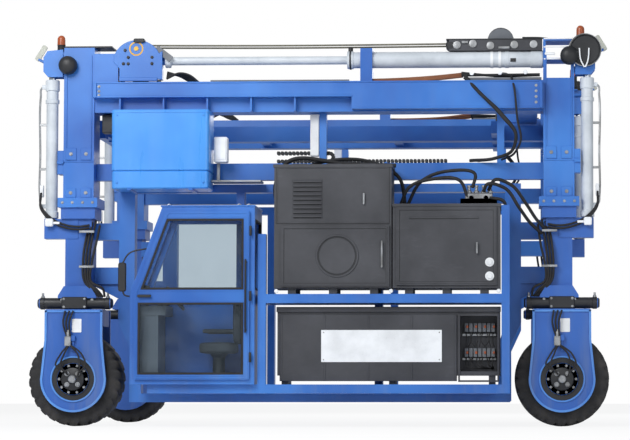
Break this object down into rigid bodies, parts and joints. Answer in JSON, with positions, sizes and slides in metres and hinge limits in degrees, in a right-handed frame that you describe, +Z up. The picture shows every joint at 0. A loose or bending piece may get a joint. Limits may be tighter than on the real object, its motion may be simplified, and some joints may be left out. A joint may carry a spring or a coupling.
{
  "type": "straddle carrier",
  "caption": "Straddle carrier with telescopic legs, four steered wheels, side cab, power pack and a rope-hung container spreader.",
  "frame": {"origin": "on the ground, at the bottom centre of the whole machine's box", "axes": "+Z up, -X towards the cab end, -Y towards the cab side"},
  "size_m": [7.29, 4.7802, 5.0403],
  "materials": {
    "frame_blue": "gloss paint",
    "tank_blue": "gloss paint",
    "box_black": "satin paint",
    "lamp_black": "moulded",
    "wheel_black": "satin paint",
    "cylinder_grey": "gloss paint",
    "engine_iron": "painted casting",
    "console": "moulded",
    "rope": "greased wire rope",
    "tyre": "worn tread",
    "seat": "woven cover"
  },
  "bodies": {
    "upper_frame": {"corner_lamp_front_far": "lamp_black", "corner_lamp_front_near": "lamp_black", "corner_lamp_rear_far": "lamp_black", "corner_lamp_rear_near": "lamp_black", "cross_beam_front": "frame_blue", "cross_beam_rear": "frame_blue", "fuel_tank": "tank_blue", "hoist_cylinder_far": "cylinder_grey", "hoist_cylinder_near": "cylinder_grey", "mid_beam_far": "frame_blue", "mid_beam_near": "frame_blue", "rope_guide_far": "box_black", "rope_guide_near": "box_black", "sleeve_front_far": "frame_blue", "sleeve_front_near": "frame_blue", "sleeve_rear_far": "frame_blue", "sleeve_rear_near": "frame_blue", "top_beam_far": "frame_blue", "top_beam_near": "frame_blue"},
    "near_side": {"battery_box": "box_black", "cab_console": "console", "cab_seat": "seat", "cab_shell": "frame_blue", "control_cabinet": "box_black", "engine_block": "engine_iron", "leg_front_near": "frame_blue", "leg_rear_near": "frame_blue", "lift_cylinder_front_near": "cylinder_grey", "lift_cylinder_rear_near": "cylinder_grey", "power_housing": "box_black", "side_frame_near": "frame_blue", "side_rack": "frame_blue"},
    "far_side": {"leg_front_far": "frame_blue", "leg_rear_far": "frame_blue", "lift_cylinder_front_far": "cylinder_grey", "lift_cylinder_rear_far": "cylinder_grey", "side_frame_far": "frame_blue"},
    "spreader": {"rope_fall_front_far": "rope", "rope_fall_front_near": "rope", "rope_fall_rear_far": "rope", "rope_fall_rear_near": "rope", "spreader": "frame_blue"},
    "sledge_near": {"sledge_near": "frame_blue"},
    "sledge_far": {"sledge_far": "frame_blue"},
    "cab_door": {"cab_door": "frame_blue"},
    "engine_door": {"engine_door": "box_black"},
    "cabinet_door": {"cabinet_door": "box_black"},
    "fork_front_near": {"fork_front_near": "frame_blue"},
    "wheel_front_near": {"tyre_front_near": "tyre", "rim_front_near": "wheel_black"},
    "fork_rear_near": {"fork_rear_near": "frame_blue"},
    "wheel_rear_near": {"tyre_rear_near": "tyre", "rim_rear_near": "wheel_black"},
    "fork_front_far": {"fork_front_far": "frame_blue"},
    "wheel_front_far": {"tyre_front_far": "tyre", "rim_front_far": "wheel_black"},
    "fork_rear_far": {"fork_rear_far": "frame_blue"},
    "wheel_rear_far": {"tyre_rear_far": "tyre", "rim_rear_far": "wheel_black"}
  },
  "joints": [
    {"name": "near_lift", "type": "slide", "parent": "upper_frame", "child": "near_side", "axis": [0, 0, -1], "range_m": [0, 1.2]},
    {"name": "far_lift", "type": "slide", "parent": "upper_frame", "child": "far_side", "axis": [0, 0, -1], "range_m": [0, 1.2]},
    {"name": "spreader_hoist", "type": "slide", "parent": "upper_frame", "child": "spreader", "axis": [0, 0, -1], "range_m": [0, 2], "deforming": ["rope_fall_front_near", "rope_fall_rear_near", "rope_fall_front_far", "rope_fall_rear_far"]},
    {"name": "sledge_near_slide", "type": "slide", "parent": "upper_frame", "child": "sledge_near", "axis": [1, 0, 0], "range_m": [0, 2]},
    {"name": "sledge_far_slide", "type": "slide", "parent": "upper_frame", "child": "sledge_far", "axis": [1, 0, 0], "range_m": [0, 2]},
    {"name": "steer_front_near", "type": "hinge", "parent": "near_side", "child": "fork_front_near", "pos_m": [-3.045, -1.60235, 1.461], "axis": [0, 0, 1], "range_deg": [-90, 90]},
    {"name": "wheel_spin_front_near", "type": "hinge", "parent": "fork_front_near", "child": "wheel_front_near", "pos_m": [-3.045, -1.60235, 0.588], "axis": [0, 1, 0], "continuous": true},
    {"name": "steer_rear_near", "type": "hinge", "parent": "near_side", "child": "fork_rear_near", "pos_m": [3.045, -1.60235, 1.461], "axis": [0, 0, 1], "range_deg": [-90, 90]},
    {"name": "wheel_spin_rear_near", "type": "hinge", "parent": "fork_rear_near", "child": "wheel_rear_near", "pos_m": [3.045, -1.60235, 0.588], "axis": [0, 1, 0], "continuous": true},
    {"name": "steer_front_far", "type": "hinge", "parent": "far_side", "child": "fork_front_far", "pos_m": [-3.045, 2.09765, 1.461], "axis": [0, 0, 1], "range_deg": [-90, 90]},
    {"name": "wheel_spin_front_far", "type": "hinge", "parent": "fork_front_far", "child": "wheel_front_far", "pos_m": [-3.045, 2.09765, 0.588], "axis": [0, 1, 0], "continuous": true},
    {"name": "steer_rear_far", "type": "hinge", "parent": "far_side", "child": "fork_rear_far", "pos_m": [3.045, 2.09765, 1.461], "axis": [0, 0, 1], "range_deg": [-90, 90]},
    {"name": "wheel_spin_rear_far", "type": "hinge", "parent": "fork_rear_far", "child": "wheel_rear_far", "pos_m": [3.045, 2.09765, 0.588], "axis": [0, 1, 0], "continuous": true},
    {"name": "cab_door_hinge", "type": "hinge", "parent": "near_side", "child": "cab_door", "pos_m": [-0.77, -2.38235, 1.5206], "axis": [0, 0, 1], "range_deg": [0, 90]},
    {"name": "engine_door_hinge", "type": "hinge", "parent": "near_side", "child": "engine_door", "pos_m": [-0.425, -2.28735, 2.1], "axis": [0, 0, -1], "range_deg": [0, 90]},
    {"name": "cabinet_door_hinge", "type": "hinge", "parent": "near_side", "child": "cabinet_door", "pos_m": [0.99612, -2.28735, 2.2], "axis": [0, 0, -1], "range_deg": [0, 90]}
  ],
  "couplings": [
    {"joint": "far_lift", "follows": "near_lift", "ratio": 1},
    {"joint": "sledge_near_slide", "follows": "spreader_hoist", "ratio": 1},
    {"joint": "sledge_far_slide", "follows": "spreader_hoist", "ratio": 1}
  ]
}
